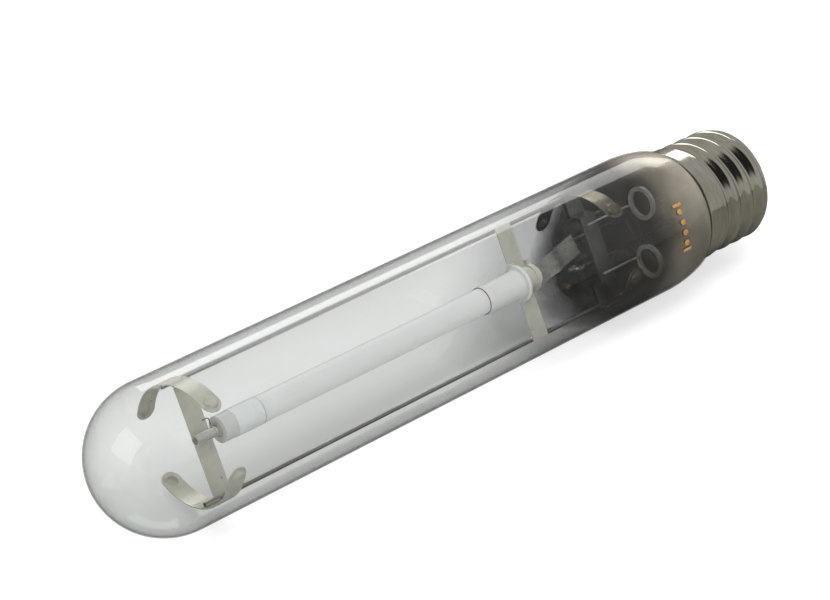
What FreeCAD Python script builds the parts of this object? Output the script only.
"""Tubular high-pressure sodium grow lamp with an E40 screw cap, as a parametric FreeCAD document.

Every piece is drawn in the lamp's own frame: z runs along the lamp's axis from the cap's centre contact
to the tip of the dome, x points at the upper frame rod and y completes the set. Each piece then gets the
same Placement, which lays the lamp down along the row's -X with its contact at the origin.
"""

import FreeCAD, Part

import math
import os

import Sketcher

Vector = FreeCAD.Vector

SIZES = {
    # outer envelope
    "overall_length": 280.0,
    "bulb_radius": 24.0,
    "bulb_wall": 1.1,
    "shoulder_z": 56.0,
    "shoulder_bend": 50.0,
    "lip_bend": 4.0,
    "lip_low_z": 39.9,
    "neck_radius": 16.06,
    "neck_end_z": 19.8,
    # screw cap
    "rim_z": 39.5,
    "skirt_radius": 20.0,
    "skirt_length": 6.8,
    "skirt_skin": 0.35,
    "crest_radius": 19.75,
    "root_radius": 17.95,
    "thread_pitch": 6.35,
    "thread_turns": 3.44,
    "groove_z": 16.5,
    "shell_bore": 17.3,
    "shell_foot_z": 10.0,
    "plate_radius": 8.0,
    "plate_thick": 1.0,
    "eyelet_radius": 2.2,
    "eyelet_bore": 1.3,
    # frame
    "rod_offset": 18.7,
    "rod_radius": 0.8,
    "rod_low_z": 70.0,
    "rod_high_z": 248.5,
    "strap_reach": 19.3,
    "strip_width": 6.5,
    "strip_thick": 0.4,
    "dome_strap_z": 237.6,
    "dome_spring_z": 242.8,
    "bush_strap_z": 106.1,
    "saddle_width": 3.5,
    "stem_clamp_z": 74.7,
    "stem_spring_z": 74.7,
    "spring_thick": 0.3,
    "spring_half_angle": 66.0,
    "spring_tip_radius": 21.4,
    "spring_cup_radius": 2.2,
    # arc tube unit
    "arc_radius": 4.3,
    "arc_wall": 0.75,
    "arc_low_z": 112.0,
    "arc_high_z": 235.8,
    "plug_length": 8.0,
    "niobium_radius": 1.25,
    "niobium_wall": 0.35,
    "electrode_radius": 0.55,
    "sleeve_low_z": 220.7,
    "sleeve_high_z": 231.0,
    "guide_low_z": 238.4,
    "guide_high_z": 244.5,
    "guide_wall": 0.28,
    "running_gap": 0.05,
    # ceramic bush
    "bush_low_z": 103.2,
    "bush_flange_z": 109.8,
    "bush_flange_radius": 6.5,
    "bush_neck_radius": 3.7,
    "bush_high_z": 127.2,
    # stem and getters
    "stem_tube_radius": 7.8,
    "stem_wall": 1.2,
    "press_low_z": 47.0,
    "press_flat_z": 61.0,
    "press_high_z": 82.0,
    "press_half_width": 10.8,
    "press_half_depth": 4.4,
    "lead_offset": 4.6,
    "lead_radius": 0.8,
    "lead_foot_z": 40.0,
    "ribbon_width": 7.0,
    "ribbon_low_z": 83.0,
    "getter_radius": 5.8,
    "getter_channel": 1.5,
    "getter_upper_x": 8.3,
    "getter_upper_y": -11.9,
    "getter_upper_z": 59.5,
    "getter_lower_x": -10.6,
    "getter_lower_y": -10.6,
    "getter_lower_z": 63.0,
    # how the frame plane lies when the lamp is on its side, in degrees from vertical
    "mount_roll": 28.9,
}

HAIR = 0.02  # the gap left between two faces that are fused, cemented or soldered together
SHEET = "sizes"

doc = FreeCAD.newDocument("grow_lamp")


class Size(float):
    """A length that remembers the spreadsheet expression it comes from."""

    def __new__(cls, value, text):
        made = super().__new__(cls, value)
        made.text = text
        return made

    def __add__(self, other):
        return Size(float(self) + float(other), f"({self.text} + {text_of(other)})")

    def __sub__(self, other):
        return Size(float(self) - float(other), f"({self.text} - {text_of(other)})")

    def __mul__(self, other):
        return Size(float(self) * float(other), f"({self.text} * {text_of(other)})")

    def __neg__(self):
        return Size(-float(self), f"(0 - {self.text})")


def text_of(value):
    return value.text if isinstance(value, Size) else repr(float(value))


def make_sheet():
    """Fills the spreadsheet and returns its cells as sizes that carry their expressions."""
    sheet = doc.addObject("Spreadsheet::Sheet", SHEET)
    for row, (alias, value) in enumerate(SIZES.items(), 1):
        sheet.set(f"A{row}", str(value))
        sheet.setAlias(f"A{row}", alias)
    doc.recompute()
    return {alias: Size(float(sheet.get(alias)), f"{SHEET}.{alias}") for alias in SIZES}


S = make_sheet()


def lying():
    """Lays the lamp's axis along -X and turns the frame plane by mount_roll from vertical."""
    tip = FreeCAD.Rotation(Vector(0, 1, 0), -90)
    roll = FreeCAD.Rotation(Vector(1, 0, 0), -float(S["mount_roll"]))
    return FreeCAD.Placement(Vector(), roll * tip)


LYING = lying()
NODES = []


def keep(piece, label, at=FreeCAD.Placement()):
    """Names a finished piece and lays it down with the lamp. at is where it stands on the lamp."""
    piece.Label = label
    piece.Placement = LYING.multiply(at)
    NODES.append(piece)
    return piece


def keep_shape(shape, label):
    """A piece made with Part's own functions from the sheet's sizes."""
    piece = doc.addObject("Part::Feature", label)
    piece.Shape = shape
    return keep(piece, label, shape.Placement)


# ---------------------------------------------------------------- sketched pieces


def arc_centre(start, end, radius, left):
    """Centre of the arc from start to end. left says that it lies left of the way from start to end."""
    chord = end - start
    half = chord.Length / 2
    rise = math.sqrt(max(radius * radius - half * half, 0.0))
    side = Vector(-chord.y, chord.x, 0).normalize() * (rise if left else -rise)
    return start + chord * 0.5 + side


def draw_outline(sketch, outline):
    """Draws a closed outline. A corner is (x, y), or (x, y, radius, left) when an arc leads to it.

    Each corner is held to the sketch's origin by its two sizes' expressions, and each arc by its radius.
    """
    corners = [Vector(float(c[0]), float(c[1]), 0) for c in outline]
    count = len(outline)
    bound = []
    for i, corner in enumerate(outline):
        start, end = corners[i - 1], corners[i]
        if len(corner) == 2:
            sketch.addGeometry(Part.LineSegment(start, end), False)
            continue
        radius, left = corner[2], corner[3]
        centre = arc_centre(start, end, float(radius), left)
        first, last = (start, end) if left else (end, start)
        angles = [math.atan2(p.y - centre.y, p.x - centre.x) for p in (first, last)]
        circle = Part.Circle(centre, Vector(0, 0, 1), float(radius))
        sketch.addGeometry(Part.ArcOfCircle(circle, angles[0], angles[1]), False)
        bound.append((sketch.addConstraint(Sketcher.Constraint("Radius", i, float(radius))), radius))

    def start_point(i):
        return 2 if len(outline[i]) > 2 and not outline[i][3] else 1

    for i in range(count):
        after = (i + 1) % count
        joint = (i, 3 - start_point(i), after, start_point(after))
        sketch.addConstraint(Sketcher.Constraint("Coincident", *joint))
    for i, corner in enumerate(outline):
        end_point = 3 - start_point(i)
        for kind, value in (("DistanceX", corner[0]), ("DistanceY", corner[1])):
            held = Sketcher.Constraint(kind, -1, 1, i, end_point, float(value))
            bound.append((sketch.addConstraint(held), value))
    for index, value in bound:
        if isinstance(value, Size):
            sketch.setExpression(f"Constraints[{index}]", value.text)


def sketch_on(body, role, outline, lift=None):
    """A closed sketch on one of the body's origin planes, lifted along the plane's normal."""
    sketch = body.newObject("Sketcher::SketchObject", "outline")
    plane = next(f for f in body.Origin.OriginFeatures if f.Role == role)
    sketch.AttachmentSupport = [(plane, "")]
    sketch.MapMode = "FlatFace"
    if lift is not None:
        sketch.setExpression("AttachmentOffset.Base.z", text_of(lift))
    draw_outline(sketch, outline)
    return sketch


def revolved(label, outline):
    """A turned piece. The outline's corners are (radius, z)."""
    body = doc.addObject("PartDesign::Body", label)
    sketch = sketch_on(body, "XZ_Plane", outline)
    turn = body.newObject("PartDesign::Revolution", "turn")
    turn.Profile = sketch
    turn.ReferenceAxis = (sketch, ["V_Axis"])
    turn.Angle = 360
    return keep(body, label)


def tube(label, outer, inner, low, high):
    """A plain turned ring or tube."""
    return revolved(label, [(inner, low), (outer, low), (outer, high), (inner, high)])


def padded(label, outline, low, length, role="XY_Plane"):
    """A strip or plate whose outline is drawn across it and padded to its width."""
    body = doc.addObject("PartDesign::Body", label)
    sketch = sketch_on(body, role, outline, low)
    pad = body.newObject("PartDesign::Pad", "pad")
    pad.Profile = sketch
    pad.setExpression("Length", text_of(length))
    return keep(body, label)


# ---------------------------------------------------------------- glass envelope


def lip_centre():
    """Centre of the tight bend where the shoulder turns in over the cap's rim, as (radius, z)."""
    reach = float(S["shoulder_bend"] - S["lip_bend"])
    z = float(S["lip_low_z"] + S["lip_bend"])
    drop = float(S["shoulder_z"]) - z
    return float(S["bulb_radius"] - S["shoulder_bend"]) + math.sqrt(reach**2 - drop**2), z


def outer_bulb():
    """Clear hard-glass tube: round dome, full shoulder that overhangs the cap, and a straight neck."""
    radius, wall, top = S["bulb_radius"], S["bulb_wall"], S["overall_length"]
    shoulder_z, bend, lip, neck = (S[k] for k in ("shoulder_z", "shoulder_bend", "lip_bend", "neck_radius"))
    lip_r, lip_z = lip_centre()
    neck_bend = lip_r - float(neck)
    bend_end_z = float(S["lip_low_z"]) - neck_bend
    across = (lip_r - float(radius - bend)) / float(bend - lip)
    down = (lip_z - float(shoulder_z)) / float(bend - lip)

    def lip_start(size):
        return lip_r + across * float(size), lip_z + down * float(size)

    inner, inner_lip = radius - wall, lip - wall
    return revolved(
        "outer_bulb",
        [
            (0.0, top),
            (radius, top - radius, radius, False),
            (radius, shoulder_z),
            (*lip_start(lip), bend, False),
            (lip_r, S["lip_low_z"], lip, False),
            (neck, bend_end_z, neck_bend, True),
            (neck, S["neck_end_z"]),
            (neck - wall, S["neck_end_z"]),
            (neck - wall, bend_end_z),
            (lip_r, S["lip_low_z"] + wall, neck_bend + float(wall), False),
            (*lip_start(inner_lip), inner_lip, True),
            (inner, shoulder_z, bend - wall, True),
            (inner, top - radius),
            (0.0, top - wall, inner, True),
        ],
    )


def stem_flare():
    """Re-entrant glass flare sealed inside the neck's end, with the tube that runs up to the press."""
    tube_radius, wall = S["stem_tube_radius"], S["stem_wall"]
    rim = float(S["neck_radius"] - S["bulb_wall"]) - HAIR
    bend = rim - float(tube_radius)
    foot = float(S["neck_end_z"])
    centre_z = foot + bend + float(wall)
    top = S["press_low_z"] - HAIR
    return revolved(
        "stem_flare",
        [
            (rim, foot + float(wall)),
            (tube_radius, centre_z, bend, False),
            (tube_radius, top),
            (tube_radius - wall, top),
            (tube_radius - wall, centre_z),
            (rim, foot, bend + float(wall), True),
        ],
    )


def stem_press():
    """The pinched top of the stem: round below, flattened above, with a passage for each lead-in wire."""
    low, flat_z, high = (float(S[f"press_{end}_z"]) for end in ("low", "flat", "high"))
    wide, deep = float(S["press_half_width"]), float(S["press_half_depth"])
    corner = 1.6
    circle = Part.Wire(Part.makeCircle(float(S["stem_tube_radius"]), Vector(0, 0, low)))
    plate = Part.makeBox(2 * wide, 2 * deep, high - flat_z, Vector(-wide, -deep, flat_z))
    upright = [e for e in plate.Edges if abs(e.tangentAt(e.FirstParameter).z) > 0.9]
    plate = plate.makeFillet(corner, upright)
    foot = min(plate.Faces, key=lambda f: f.CenterOfMass.z)
    blend = Part.makeLoft([circle, foot.OuterWire], True, True)
    press = blend.fuse(plate)
    for side in (-1, 1):
        base = Vector(side * float(S["lead_offset"]), 0, low - 1)
        press = press.cut(Part.makeCylinder(float(S["lead_radius"]) + HAIR, high - low + 2, base))
    return keep_shape(press.Solids[0], "stem_press")


def exhaust_tube():
    """Pumping tube up the middle of the stem, sealed off to a round tip inside the cap."""
    radius, low, high = 2.2, 15.0, float(S["press_low_z"]) - HAIR
    return revolved(
        "exhaust_tube",
        [
            (0.0, high),
            (0.0, low),
            (radius, low + radius, radius, True),
            (radius, high),
        ],
    )


# ---------------------------------------------------------------- screw cap


def thread_groove():
    """The valley between the screw's turns: one right-handed sweep that leaves a narrow land at a crest."""
    pitch, crest, root = float(S["thread_pitch"]), float(S["crest_radius"]), float(S["root_radius"])
    start_angle = 137.0
    start = float(S["groove_z"]) - pitch * (270.0 - start_angle) / 360.0 - pitch
    mouth, flank, floor = 2.9, 1.7, 0.6
    clear = crest + 0.6
    half_profile = [(clear, mouth), (crest, mouth), (root + 0.5, flank), (root, floor)]
    corners = [Vector(r, 0, start - z) for r, z in half_profile]
    corners += [Vector(r, 0, start + z) for r, z in reversed(half_profile)]
    profile = Part.makePolygon(corners + corners[:1])
    helix = Part.makeHelix(pitch, pitch * float(S["thread_turns"]), crest)
    helix.translate(Vector(0, 0, start))
    groove = Part.Wire(helix.Edges).makePipeShell([profile], True, True)
    groove.rotate(Vector(), Vector(0, 0, 1), start_angle)
    return groove


def cap_shell():
    """Rolled metal shell: plain skirt at the rim, rounded screw thread and a turned-in foot."""
    skirt, skin, rim = float(S["skirt_radius"]), float(S["skirt_skin"]), float(S["rim_z"])
    crest, bore, foot = float(S["crest_radius"]), float(S["shell_bore"]), float(S["shell_foot_z"])
    step = rim - float(S["skirt_length"])
    turn_in = 1.2
    outline = [(0, foot), (crest - turn_in, foot), (crest, foot + turn_in), (crest, step - 0.3)]
    outline += [(skirt, step), (skirt, rim), (0, rim)]
    inside = [(0, foot - 1), (bore - 1.0, foot - 1), (bore - 1.0, foot + 1.0), (bore, foot + 1.0)]
    inside += [(bore, step - 0.2), (skirt - skin, step + 1.2), (skirt - skin, rim + 1), (0, rim + 1)]
    solids = []
    for section in (outline, inside):
        corners = [Vector(r, 0, z) for r, z in section]
        face = Part.Face(Part.makePolygon(corners + corners[:1]))
        solids.append(face.revolve(Vector(), Vector(0, 0, 1), 360))
    shell = solids[0].cut(thread_groove()).cut(solids[1])
    return keep_shape(shell.Solids[0], "cap_shell")


def cap_insulator():
    """Black glass cone that carries the centre contact and closes the shell's foot."""
    foot = float(S["shell_foot_z"])
    plate = float(S["plate_radius"])
    thick = float(S["plate_thick"])
    hole = float(S["eyelet_radius"]) + HAIR
    return revolved(
        "cap_insulator",
        [
            (hole, thick + HAIR),
            (plate + 0.6, thick + HAIR),
            (plate + 1.6, thick + 0.9, 1.0, True),
            (16.3 - HAIR, foot - 1.4),
            (16.3 - HAIR, foot + 1.0 + HAIR),
            (S["shell_bore"] - HAIR, foot + 1.0 + HAIR),
            (S["shell_bore"] - HAIR, foot + 3.4),
            (hole, foot + 3.4),
        ],
    )


def contact_plate():
    """Centre contact: a disc with a short eyelet that the lead comes through."""
    thick, eyelet, bore = S["plate_thick"], S["eyelet_radius"], S["eyelet_bore"]
    return revolved(
        "contact_plate",
        [
            (bore, 0.0),
            (S["plate_radius"] - 0.4, 0.0),
            (S["plate_radius"], 0.4),
            (S["plate_radius"], thick),
            (eyelet, thick),
            (eyelet, thick + 5.0),
            (bore, thick + 5.0),
        ],
    )


def contact_solder():
    """Solder that closes the eyelet, a little below the contact's face."""
    radius = S["eyelet_bore"] - HAIR
    return revolved(
        "contact_solder",
        [(0.0, 0.3), (radius, 0.15, 6.0, True), (radius, 2.6), (0.0, 2.6)],
    )


def basing_cement():
    """Baked cement ring between the bulb's neck and the shell, with a slot for the side lead."""
    inner, outer = float(S["neck_radius"]) + HAIR, float(S["shell_bore"]) - HAIR
    low, high = 18.5, 30.6
    ring = Part.makeCylinder(outer, high - low, Vector(0, 0, low))
    ring = ring.cut(Part.makeCylinder(inner, high - low + 2, Vector(0, 0, low - 1)))
    slot = Part.makeBox(4, 1.4, high - low + 2, Vector(-outer - 1, -0.7, low - 1))
    return keep_shape(ring.cut(slot).Solids[0], "basing_cement")


# ---------------------------------------------------------------- wires


def wire_through(points, radius, bend):
    """A round wire along straight stretches with rounded corners."""
    edges, here = [], points[0]
    for before, corner, after in zip(points, points[1:], points[2:]):
        to_before = (before - corner).normalize()
        to_after = (after - corner).normalize()
        half = to_before.getAngle(to_after) / 2
        cut = bend / math.tan(half)
        first, last = corner + to_before * cut, corner + to_after * cut
        middle = corner + (to_before + to_after).normalize() * (bend / math.sin(half) - bend)
        edges += [Part.makeLine(here, first), Part.Arc(first, middle, last).toShape()]
        here = last
    edges.append(Part.makeLine(here, points[-1]))
    path = Part.Wire(edges)
    circle = Part.Wire(Part.makeCircle(radius, points[0], points[1] - points[0]))
    return path.makePipeShell([circle], True, True)


def lead_wires():
    """Two thick lead-in wires through the press: one hooks over to the rear clamp, one holds the ribbon."""
    side, radius, foot = (float(S[k]) for k in ("lead_offset", "lead_radius", "lead_foot_z"))
    top = float(S["press_high_z"])
    behind_clamp = float(S["press_half_depth"] + S["strip_thick"]) + 2 * HAIR + radius
    frame_lead = [
        Vector(-side, 0, foot),
        Vector(-side, 0, top + 2.4),
        Vector(-side, behind_clamp, top + 2.4),
        Vector(-side, behind_clamp, top - 4.0),
    ]
    keep_shape(wire_through(frame_lead, radius, 1.6), "frame_lead_wire")
    arc_lead = Part.makeCylinder(radius, top + 9.0 - foot, Vector(side, 0, foot))
    keep_shape(arc_lead, "arc_lead_wire")


def cap_leads():
    """Two thin leads in the cap: one to the centre contact, one up beside the neck to the skirt."""
    side, foot, rim = (float(S[k]) for k in ("lead_offset", "lead_foot_z", "rim_z"))
    thin = 0.35
    to_contact = [
        Vector(side, 0, foot - HAIR),
        Vector(side, 0, 18.0),
        Vector(0, 0, 11.0),
        Vector(0, 0, 2.6 + HAIR),
    ]
    keep_shape(wire_through(to_contact, thin, 1.5), "contact_lead")
    gap_radius = float(S["neck_radius"] + S["shell_bore"]) / 2
    skirt_in = float(S["skirt_radius"]) - float(S["skirt_skin"])
    bead, beside_skirt = 0.42, skirt_in - 0.4
    weld_z = rim - 1.3
    to_shell = [
        Vector(-side, 0, foot - HAIR),
        Vector(-side, 0, 17.4),
        Vector(-gap_radius, 0, 16.6),
        Vector(-gap_radius, 0, rim - 7.2),
        Vector(-beside_skirt, 0, rim - 2.4),
        Vector(-beside_skirt, 0, weld_z - bead - HAIR),
    ]
    keep_shape(wire_through(to_shell, thin, 0.4), "shell_lead")
    keep_shape(Part.makeSphere(bead, Vector(-(skirt_in - bead - HAIR), 0, weld_z)), "side_weld")


# ---------------------------------------------------------------- frame


def frame_rod(label, side):
    """One of the two long nickel rods that carry the frame."""
    rod = doc.addObject("Part::Cylinder", label)
    rod.setExpression("Radius", S["rod_radius"].text)
    rod.setExpression("Height", (S["rod_high_z"] - S["rod_low_z"]).text)
    foot = Vector(side * float(S["rod_offset"]), float(S["rod_radius"]), float(S["rod_low_z"]))
    return keep(rod, label, FreeCAD.Placement(foot, FreeCAD.Rotation()))


def dome_strap():
    """Flat cross strap behind both rods, which also carries the guide sleeve."""
    front = S["rod_radius"] * 2 + HAIR
    reach, back = S["strap_reach"], front + S["strip_thick"]
    outline = [(-reach, front), (reach, front), (reach, back), (-reach, back)]
    return padded("dome_strap", outline, S["dome_strap_z"], S["strip_width"])


def bush_strap():
    """Cross strap over the front of both rods, with a narrow half-round saddle under the bush's flange."""
    thick, reach, inner = S["strip_thick"], S["strap_reach"], float(S["bush_neck_radius"]) + 0.05
    back, front = -HAIR, -HAIR - float(thick)
    outer = inner + float(thick)
    x_in = math.sqrt(inner**2 - back**2)
    x_out = math.sqrt(outer**2 - front**2)
    outline = [
        (-reach, front),
        (-x_out, front),
        (x_out, front, outer, True),
        (reach, front),
        (reach, back),
        (x_in, back),
        (-x_in, back, inner, False),
        (-reach, back),
    ]
    strap = padded("bush_strap", outline, S["bush_strap_z"], S["strip_width"])
    beside_flange, before_saddle = S["bush_flange_radius"] + 0.4, 6.0
    notch = [(-beside_flange, -before_saddle), (beside_flange, -before_saddle)]
    notch += [(beside_flange, 0.5), (-beside_flange, 0.5)]
    pocket = strap.newObject("PartDesign::Pocket", "flange_notch")
    pocket.Profile = sketch_on(strap, "XY_Plane", notch, S["bush_strap_z"] + S["strip_width"])
    pocket.setExpression("Length", (S["strip_width"] - S["saddle_width"]).text)
    return strap


def stem_clamp(label, seat, side):
    """Hat-shaped band welded across the rods at y = seat, which grips one flat of the press."""
    thick, reach = float(S["strip_thick"]), float(S["strap_reach"])
    crown = side * (float(S["press_half_depth"]) + HAIR)
    wide, splay = float(S["press_half_width"]) + 0.3, 1.1
    outside = side * thick
    half = [
        (wide, crown),
        (wide + splay, seat),
        (reach, seat),
        (reach, seat + outside),
        (wide + splay + 0.3, seat + outside),
        (wide + 0.3, crown + outside),
    ]
    outline = half + [(-x, y) for x, y in reversed(half)]
    return padded(label, outline, S["stem_clamp_z"], S["strip_width"])


def leaf_spring(label, side, low):
    """Bowed strip over the outside of a rod, with a drawn cup near each rounded tip, against the glass."""
    thick, wide = float(S["spring_thick"]), float(S["strip_width"])
    over_rod = float(S["rod_offset"]) + float(S["rod_radius"]) + 0.05
    tip_angle = math.radians(float(S["spring_half_angle"]))
    tip = float(S["spring_tip_radius"])
    tip_x, tip_y = tip * math.cos(tip_angle), tip * math.sin(tip_angle)
    centre = (over_rod**2 - tip**2) / (2 * (over_rod - tip_x))
    inner = over_rod - centre
    bow = inner + thick
    sweep = math.atan2(tip_y, tip_x - centre)

    def on_bow(radius, angle):
        return Vector(centre + radius * math.cos(angle), radius * math.sin(angle), low)

    face = Part.Face(
        Part.Wire(
            [
                Part.Arc(on_bow(bow, -sweep), on_bow(bow, 0), on_bow(bow, sweep)).toShape(),
                Part.makeLine(on_bow(bow, sweep), on_bow(inner, sweep)),
                Part.Arc(on_bow(inner, sweep), on_bow(inner, 0), on_bow(inner, -sweep)).toShape(),
                Part.makeLine(on_bow(inner, -sweep), on_bow(bow, -sweep)),
            ]
        )
    )
    strip = face.extrude(Vector(0, 0, wide))
    cup = float(S["spring_cup_radius"])
    for end in (-1, 1):
        angle = end * (sweep - wide / 2 / inner)
        out = Vector(math.cos(angle), math.sin(angle), 0)
        root = on_bow(inner, angle) + Vector(0, 0, wide / 2)
        strip = with_cup(strip, root, out, Vector(-out.y, out.x, 0) * end, cup)
    if side < 0:
        strip.rotate(Vector(), Vector(0, 0, 1), 180)
    return keep_shape(strip.Solids[0], label)


def with_cup(strip, root, out, along, cup):
    """Rounds the strip's end about root and raises a hollow cup there. along points at the end."""
    thick, wide = float(S["spring_thick"]), float(S["strip_width"])
    height = 1.25
    below = root - out * thick
    round_tip = Part.makeCylinder(wide / 2, 4 * thick, below, out)
    corners = Part.makeBox(wide, wide, 4 * thick, Vector(0, -wide / 2, -thick))
    corners.Placement = FreeCAD.Placement(root, FreeCAD.Rotation(along, Vector(), out, "ZXY"))
    strip = strip.cut(corners.cut(round_tip))
    strip = strip.cut(Part.makeCylinder(cup - thick, 4 * thick, below, out))
    wall = Part.makeCylinder(cup, height + thick, root, out)
    rim = [e for e in wall.Edges if e.Closed and (e.CenterOfMass - root) * out > height]
    wall = wall.makeFillet(0.8, rim)
    hollow = Part.makeCylinder(cup - thick, height, root - out * 0.01, out)
    return strip.fuse(wall.cut(hollow))


def getter(end):
    """Ring-shaped getter channel held on a bent wire from the front stem clamp."""
    radius, channel = float(S["getter_radius"]), float(S["getter_channel"])
    centre = Vector(*(float(S[f"getter_{end}_{axis}"]) for axis in "xyz"))
    skin, height, thin = 0.25, 1.1, 0.4
    ring = annulus(radius, radius - channel, height, centre)
    groove = annulus(radius - skin, radius - channel + skin, height, centre - Vector(0, 0, skin))
    keep_shape(ring.cut(groove).Solids[0], f"getter_ring_{end}")
    before_clamp = -(float(S["press_half_depth"]) + float(S["strip_thick"]) + 2 * HAIR + thin)
    wire_x = max(-8.6, min(8.6, centre.x))
    foot_z = centre.z + height + thin + HAIR
    near = centre.y + math.sqrt(radius**2 - (wire_x - centre.x) ** 2)
    points = [
        Vector(wire_x, before_clamp, float(S["stem_clamp_z"]) + 4.5),
        Vector(wire_x, before_clamp, foot_z),
        Vector(wire_x, min(near - channel, before_clamp - 1.5), foot_z),
    ]
    keep_shape(wire_through(points, thin, 0.9), f"getter_wire_{end}")


def annulus(outer, inner, height, base):
    return Part.makeCylinder(outer, height, base).cut(Part.makeCylinder(inner, height, base))


def flex_ribbon():
    """Bowed nickel ribbon across the front of the arc lead and the niobium tube."""
    low, high = float(S["ribbon_low_z"]), float(S["bush_low_z"]) - 0.9
    by_lead = float(S["lead_radius"]) + 0.06
    by_tube = float(S["niobium_radius"]) + float(S["running_gap"])
    thick, wide, lean = 0.25, float(S["ribbon_width"]), 11.0
    upright = Vector(0, 0, 1)
    path = [
        Vector(0, -by_lead, low),
        Vector(0, -by_lead, low + 6.5),
        Vector(0, -by_lead - 1.1, (low + high) / 2 + 2.0),
        Vector(0, -by_tube, high - 3.2),
        Vector(0, -by_tube, high),
    ]
    skin = Vector(0, -thick, 0)
    edges = []
    for face in (Vector(), skin):
        bow = Part.BSplineCurve()
        bow.interpolate([p + face for p in path[1:4]], InitialTangent=upright, FinalTangent=upright)
        edges += [Part.makeLine(path[0] + face, path[1] + face), bow.toShape()]
        edges.append(Part.makeLine(path[3] + face, path[4] + face))
    edges += [Part.makeLine(p, p + skin) for p in (path[0], path[-1])]
    outline = Part.Wire(Part.__sortEdges__(edges))
    strip = Part.Face(outline).extrude(Vector(wide, 0, 0))
    strip.translate(Vector(-wide / 2, 0, 0))
    strip.rotate(Vector(0, 0, high), Vector(0, 1, 0), -lean)
    return keep_shape(strip, "flex_ribbon")


def jumper_wire():
    """Thin wire that loops from the niobium tube, above the frit, to the front of the dome strap."""
    thin = 0.2
    beside_tube = float(S["niobium_radius"] + S["running_gap"]) + thin
    before_strap = 2 * float(S["rod_radius"]) - thin - HAIR
    loop_z, out = float(S["arc_high_z"]) + 0.88, 4.4
    points = [
        Vector(out, before_strap, float(S["dome_strap_z"]) + 1.4),
        Vector(out, before_strap, loop_z),
        Vector(beside_tube, before_strap, loop_z),
        Vector(beside_tube, -0.5, loop_z),
    ]
    return keep_shape(wire_through(points, thin, 0.7), "jumper_wire")


# ---------------------------------------------------------------- ceramic bush and guide


def ceramic_bush():
    """White flanged bush: its neck sits in the strap's saddle and its sleeve guides the arc tube's end."""
    neck, flange_z, flange = S["bush_neck_radius"], S["bush_flange_z"], S["bush_flange_radius"]
    bore = S["arc_radius"] + S["running_gap"]
    sleeve = 4.7
    hole = S["niobium_radius"] + 0.5
    floor = S["arc_low_z"] - 0.55
    return revolved(
        "ceramic_bush",
        [
            (hole, S["bush_low_z"]),
            (neck, S["bush_low_z"]),
            (neck, flange_z),
            (flange - 0.75, flange_z),
            (flange - 0.75, flange_z + 1.5, 0.8, True),
            (sleeve + 0.5, flange_z + 1.5),
            (sleeve, flange_z + 2.0, 0.5, False),
            (sleeve, S["bush_high_z"] - 0.2),
            (sleeve - 0.2, S["bush_high_z"]),
            (bore, S["bush_high_z"]),
            (bore, floor),
            (hole, floor),
        ],
    )


def bush_retainer():
    """Push-on spring ring with a lifting tab that keeps the bush's flange down on the strap."""
    neck = float(S["bush_neck_radius"]) + HAIR
    outer, thick, edge = neck + 0.9, 1.4, 0.3
    low = float(S["bush_strap_z"]) - thick - 0.5
    ring = annulus(outer, neck, thick, Vector(0, 0, low))
    rims = [e for e in ring.Edges if e.Closed and abs(e.Curve.Radius - outer) < 0.01]
    ring = ring.makeFillet(edge, rims)
    tab_wide = 2.0
    tab = Part.makeBox(1.7, tab_wide, thick - 2 * edge, Vector(outer - 0.4, -tab_wide / 2, low + edge))
    return keep_shape(ring.fuse(tab).removeSplitter().Solids[0], "bush_retainer")


# ---------------------------------------------------------------- arc tube unit


def at_end(z, dome):
    """Mirrors a height measured at the dome end to the base end of the arc tube."""
    return z if dome else S["arc_low_z"] + S["arc_high_z"] - z


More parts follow.
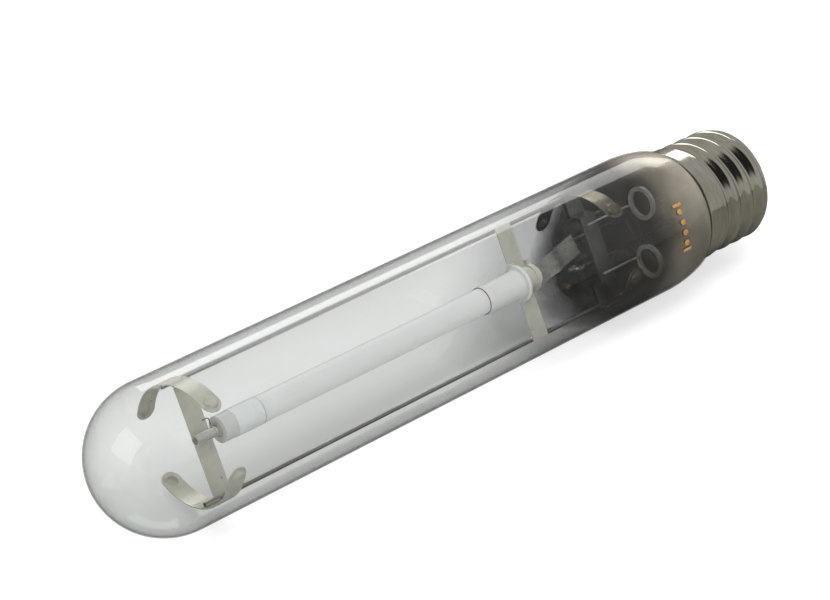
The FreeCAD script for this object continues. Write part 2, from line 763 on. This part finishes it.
def arc_tube_unit():
    """Translucent alumina tube and everything sealed to it, which slides as one when it heats up."""
    radius, bore = S["arc_radius"], S["arc_radius"] - S["arc_wall"]
    top, plug = S["arc_high_z"], S["plug_length"]
    tube("arc_tube", radius, bore, S["arc_low_z"], top)
    sleeve_in = radius + HAIR
    tube("heat_sleeve", radius + 0.15, sleeve_in, S["sleeve_low_z"], S["sleeve_high_z"])
    nb, nb_in = S["niobium_radius"], S["niobium_radius"] - S["niobium_wall"]
    rod = S["electrode_radius"]
    for name, dome, tail in (("dome", True, 7.5), ("base", False, 14.5)):
        ends = [at_end(top - plug, dome), at_end(top, dome)]
        tube(f"{name}_plug", bore - HAIR, nb + HAIR, min(ends), max(ends))
        ends = [at_end(top - plug + 1.5, dome), at_end(top + tail, dome)]
        tube(f"{name}_niobium_tube", nb, nb_in, min(ends), max(ends))
        frit = [at_end(top + HAIR, dome), at_end(top + 0.6, dome)]
        revolved(
            f"{name}_frit_seal",
            [(nb + HAIR, frit[0]), (nb + 1.2, frit[0]), (nb + HAIR, frit[1])],
        )
        head, shoulder = at_end(top - plug - 11.0, dome), at_end(top - plug + 2.0, dome)
        tail_end = at_end(top - plug + 4.0, dome)
        revolved(
            f"{name}_electrode",
            [
                (0.0, head),
                (rod - 0.15, head),
                (rod, head + (0.15 if dome else -0.15)),
                (rod, shoulder),
                (nb_in - HAIR, shoulder),
                (nb_in - HAIR, tail_end),
                (0.0, tail_end),
            ],
        )
        coil_low = min(float(at_end(top - plug - 9.5, dome)), float(at_end(top - plug - 4.5, dome)))
        wire, pitch, length = 0.27, 0.62, 5.0
        middle = float(rod) + wire + HAIR
        helix = Part.makeHelix(pitch, length, middle)
        section = Part.Wire(Part.makeCircle(wire, Vector(middle, 0, 0), Vector(0, 1, 0)))
        coil = Part.Wire(helix.Edges).makePipeShell([section], True, True)
        coil.translate(Vector(0, 0, coil_low))
        keep_shape(coil, f"{name}_electrode_coil")
    ring_high = S["guide_low_z"] - 0.95
    tube("stop_ring", nb + 0.33, nb + HAIR, ring_high - 0.5, ring_high)
    pellet = Part.makeSphere(1.0, Vector(0, float(bore) - 1.05, float(S["arc_low_z"] + plug) + 2.0))
    keep_shape(pellet, "amalgam_pellet")


def guide_sleeve():
    """Short tube welded to the dome strap, in which the niobium tube slides."""
    bore = S["niobium_radius"] + S["running_gap"]
    tube("guide_sleeve", bore + S["guide_wall"], bore, S["guide_low_z"], S["guide_high_z"])


# ---------------------------------------------------------------- the lamp

outer_bulb()
stem_flare()
stem_press()
exhaust_tube()
cap_shell()
cap_insulator()
contact_plate()
contact_solder()
basing_cement()
lead_wires()
cap_leads()
frame_rod("upper_frame_rod", 1)
frame_rod("lower_frame_rod", -1)
dome_strap()
bush_strap()
stem_clamp("stem_clamp_front", -HAIR, -1)
stem_clamp("stem_clamp_rear", 2 * float(S["rod_radius"]) + HAIR, 1)
leaf_spring("dome_spring_upper", 1, float(S["dome_spring_z"]))
leaf_spring("dome_spring_lower", -1, float(S["dome_spring_z"]))
leaf_spring("stem_spring_upper", 1, float(S["stem_spring_z"]))
leaf_spring("stem_spring_lower", -1, float(S["stem_spring_z"]))
getter("upper")
getter("lower")
flex_ribbon()
jumper_wire()
ceramic_bush()
bush_retainer()
guide_sleeve()
arc_tube_unit()
doc.recompute()


def check_all():
    """Stops before anything is written if an object failed or a piece is not a valid closed solid."""
    for made in doc.Objects:
        if {"Invalid", "Error"} & set(made.State):
            raise RuntimeError(f"{made.Label} is {made.State}")
    for node in NODES:
        shape = node.Shape
        if shape.isNull() or not shape.isValid() or not shape.Solids:
            raise RuntimeError(f"{node.Label} has no valid solid")
        if any(s.Volume <= 0 for s in shape.Solids):
            raise RuntimeError(f"{node.Label} is inside out")


check_all()
os.makedirs("parts", exist_ok=True)
for node in NODES:
    node.Shape.exportStep(f"parts/{node.Label}.step")
print(f"{len(NODES)} nodes")
